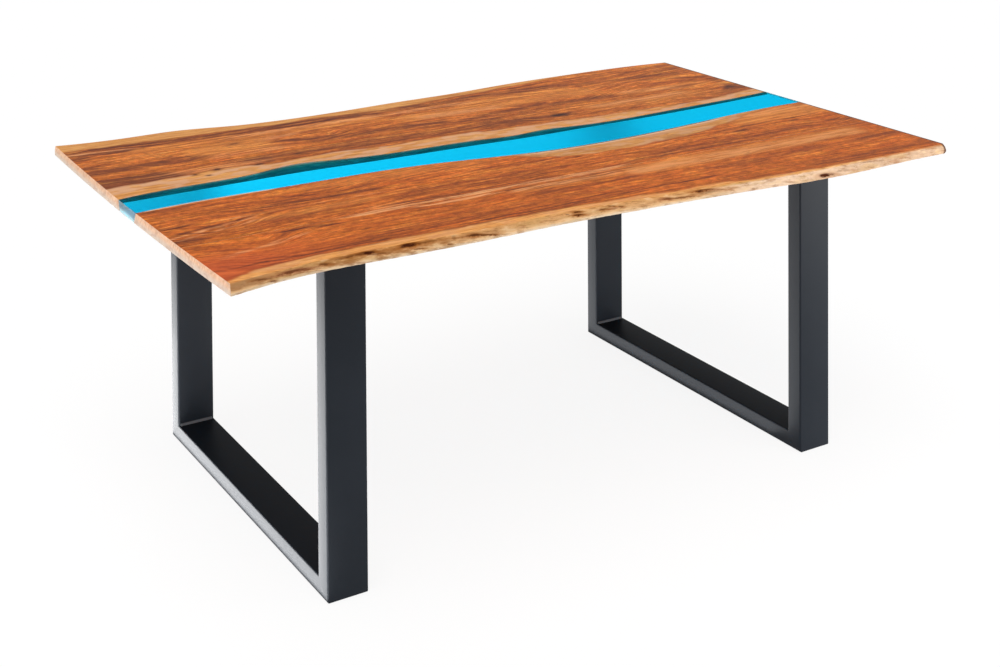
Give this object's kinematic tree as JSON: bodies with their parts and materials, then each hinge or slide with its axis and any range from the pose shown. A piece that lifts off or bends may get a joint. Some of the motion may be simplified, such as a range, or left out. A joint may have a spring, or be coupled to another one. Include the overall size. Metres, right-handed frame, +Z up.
{
  "type": "live edge dining table",
  "caption": "Rectangular dining table of wooden live edge slabs with a clear blue resin river along the middle, on black steel U frames.",
  "frame": {"origin": "on the floor, under the middle of the table, on the river's centre line", "axes": "+X along the table's length, from the crowned end to the straight end; +Y from the front edge to the back edge, across the table; +Z up"},
  "size_m": [2.01, 1.0504, 0.76],
  "materials": {
    "slab_wood": "satin lacquered acacia, warm red-brown heartwood with pale sapwood",
    "river_resin": "clear blue cast resin, polished on top, matt underneath",
    "powder_coated_steel": "fine textured matt anthracite powder coat",
    "zinc_plated_steel": "bright zinc plate",
    "insert_brass": "turned brass",
    "glide_rubber": "matt black rubber"
  },
  "bodies": {
    "root": {"back_outer_board": "slab_wood", "back_middle_board": "slab_wood", "back_river_board": "slab_wood", "front_river_board": "slab_wood", "front_middle_board": "slab_wood", "front_outer_board": "slab_wood", "river_resin": "river_resin", "left_front_post": "powder_coated_steel", "left_back_post": "powder_coated_steel", "left_floor_bar": "powder_coated_steel", "left_front_mount_plate": "powder_coated_steel", "left_back_mount_plate": "powder_coated_steel", "left_corner_welds": "powder_coated_steel", "left_plate_welds": "powder_coated_steel", "left_floor_glides": "glide_rubber", "left_plate_bolts": "zinc_plated_steel", "left_plate_washers": "zinc_plated_steel", "left_threaded_inserts": "insert_brass", "right_front_post": "powder_coated_steel", "right_back_post": "powder_coated_steel", "right_floor_bar": "powder_coated_steel", "right_front_mount_plate": "powder_coated_steel", "right_back_mount_plate": "powder_coated_steel", "right_corner_welds": "powder_coated_steel", "right_plate_welds": "powder_coated_steel", "right_floor_glides": "glide_rubber", "right_plate_bolts": "zinc_plated_steel", "right_plate_washers": "zinc_plated_steel", "right_threaded_inserts": "insert_brass"}
  },
  "joints": []
}
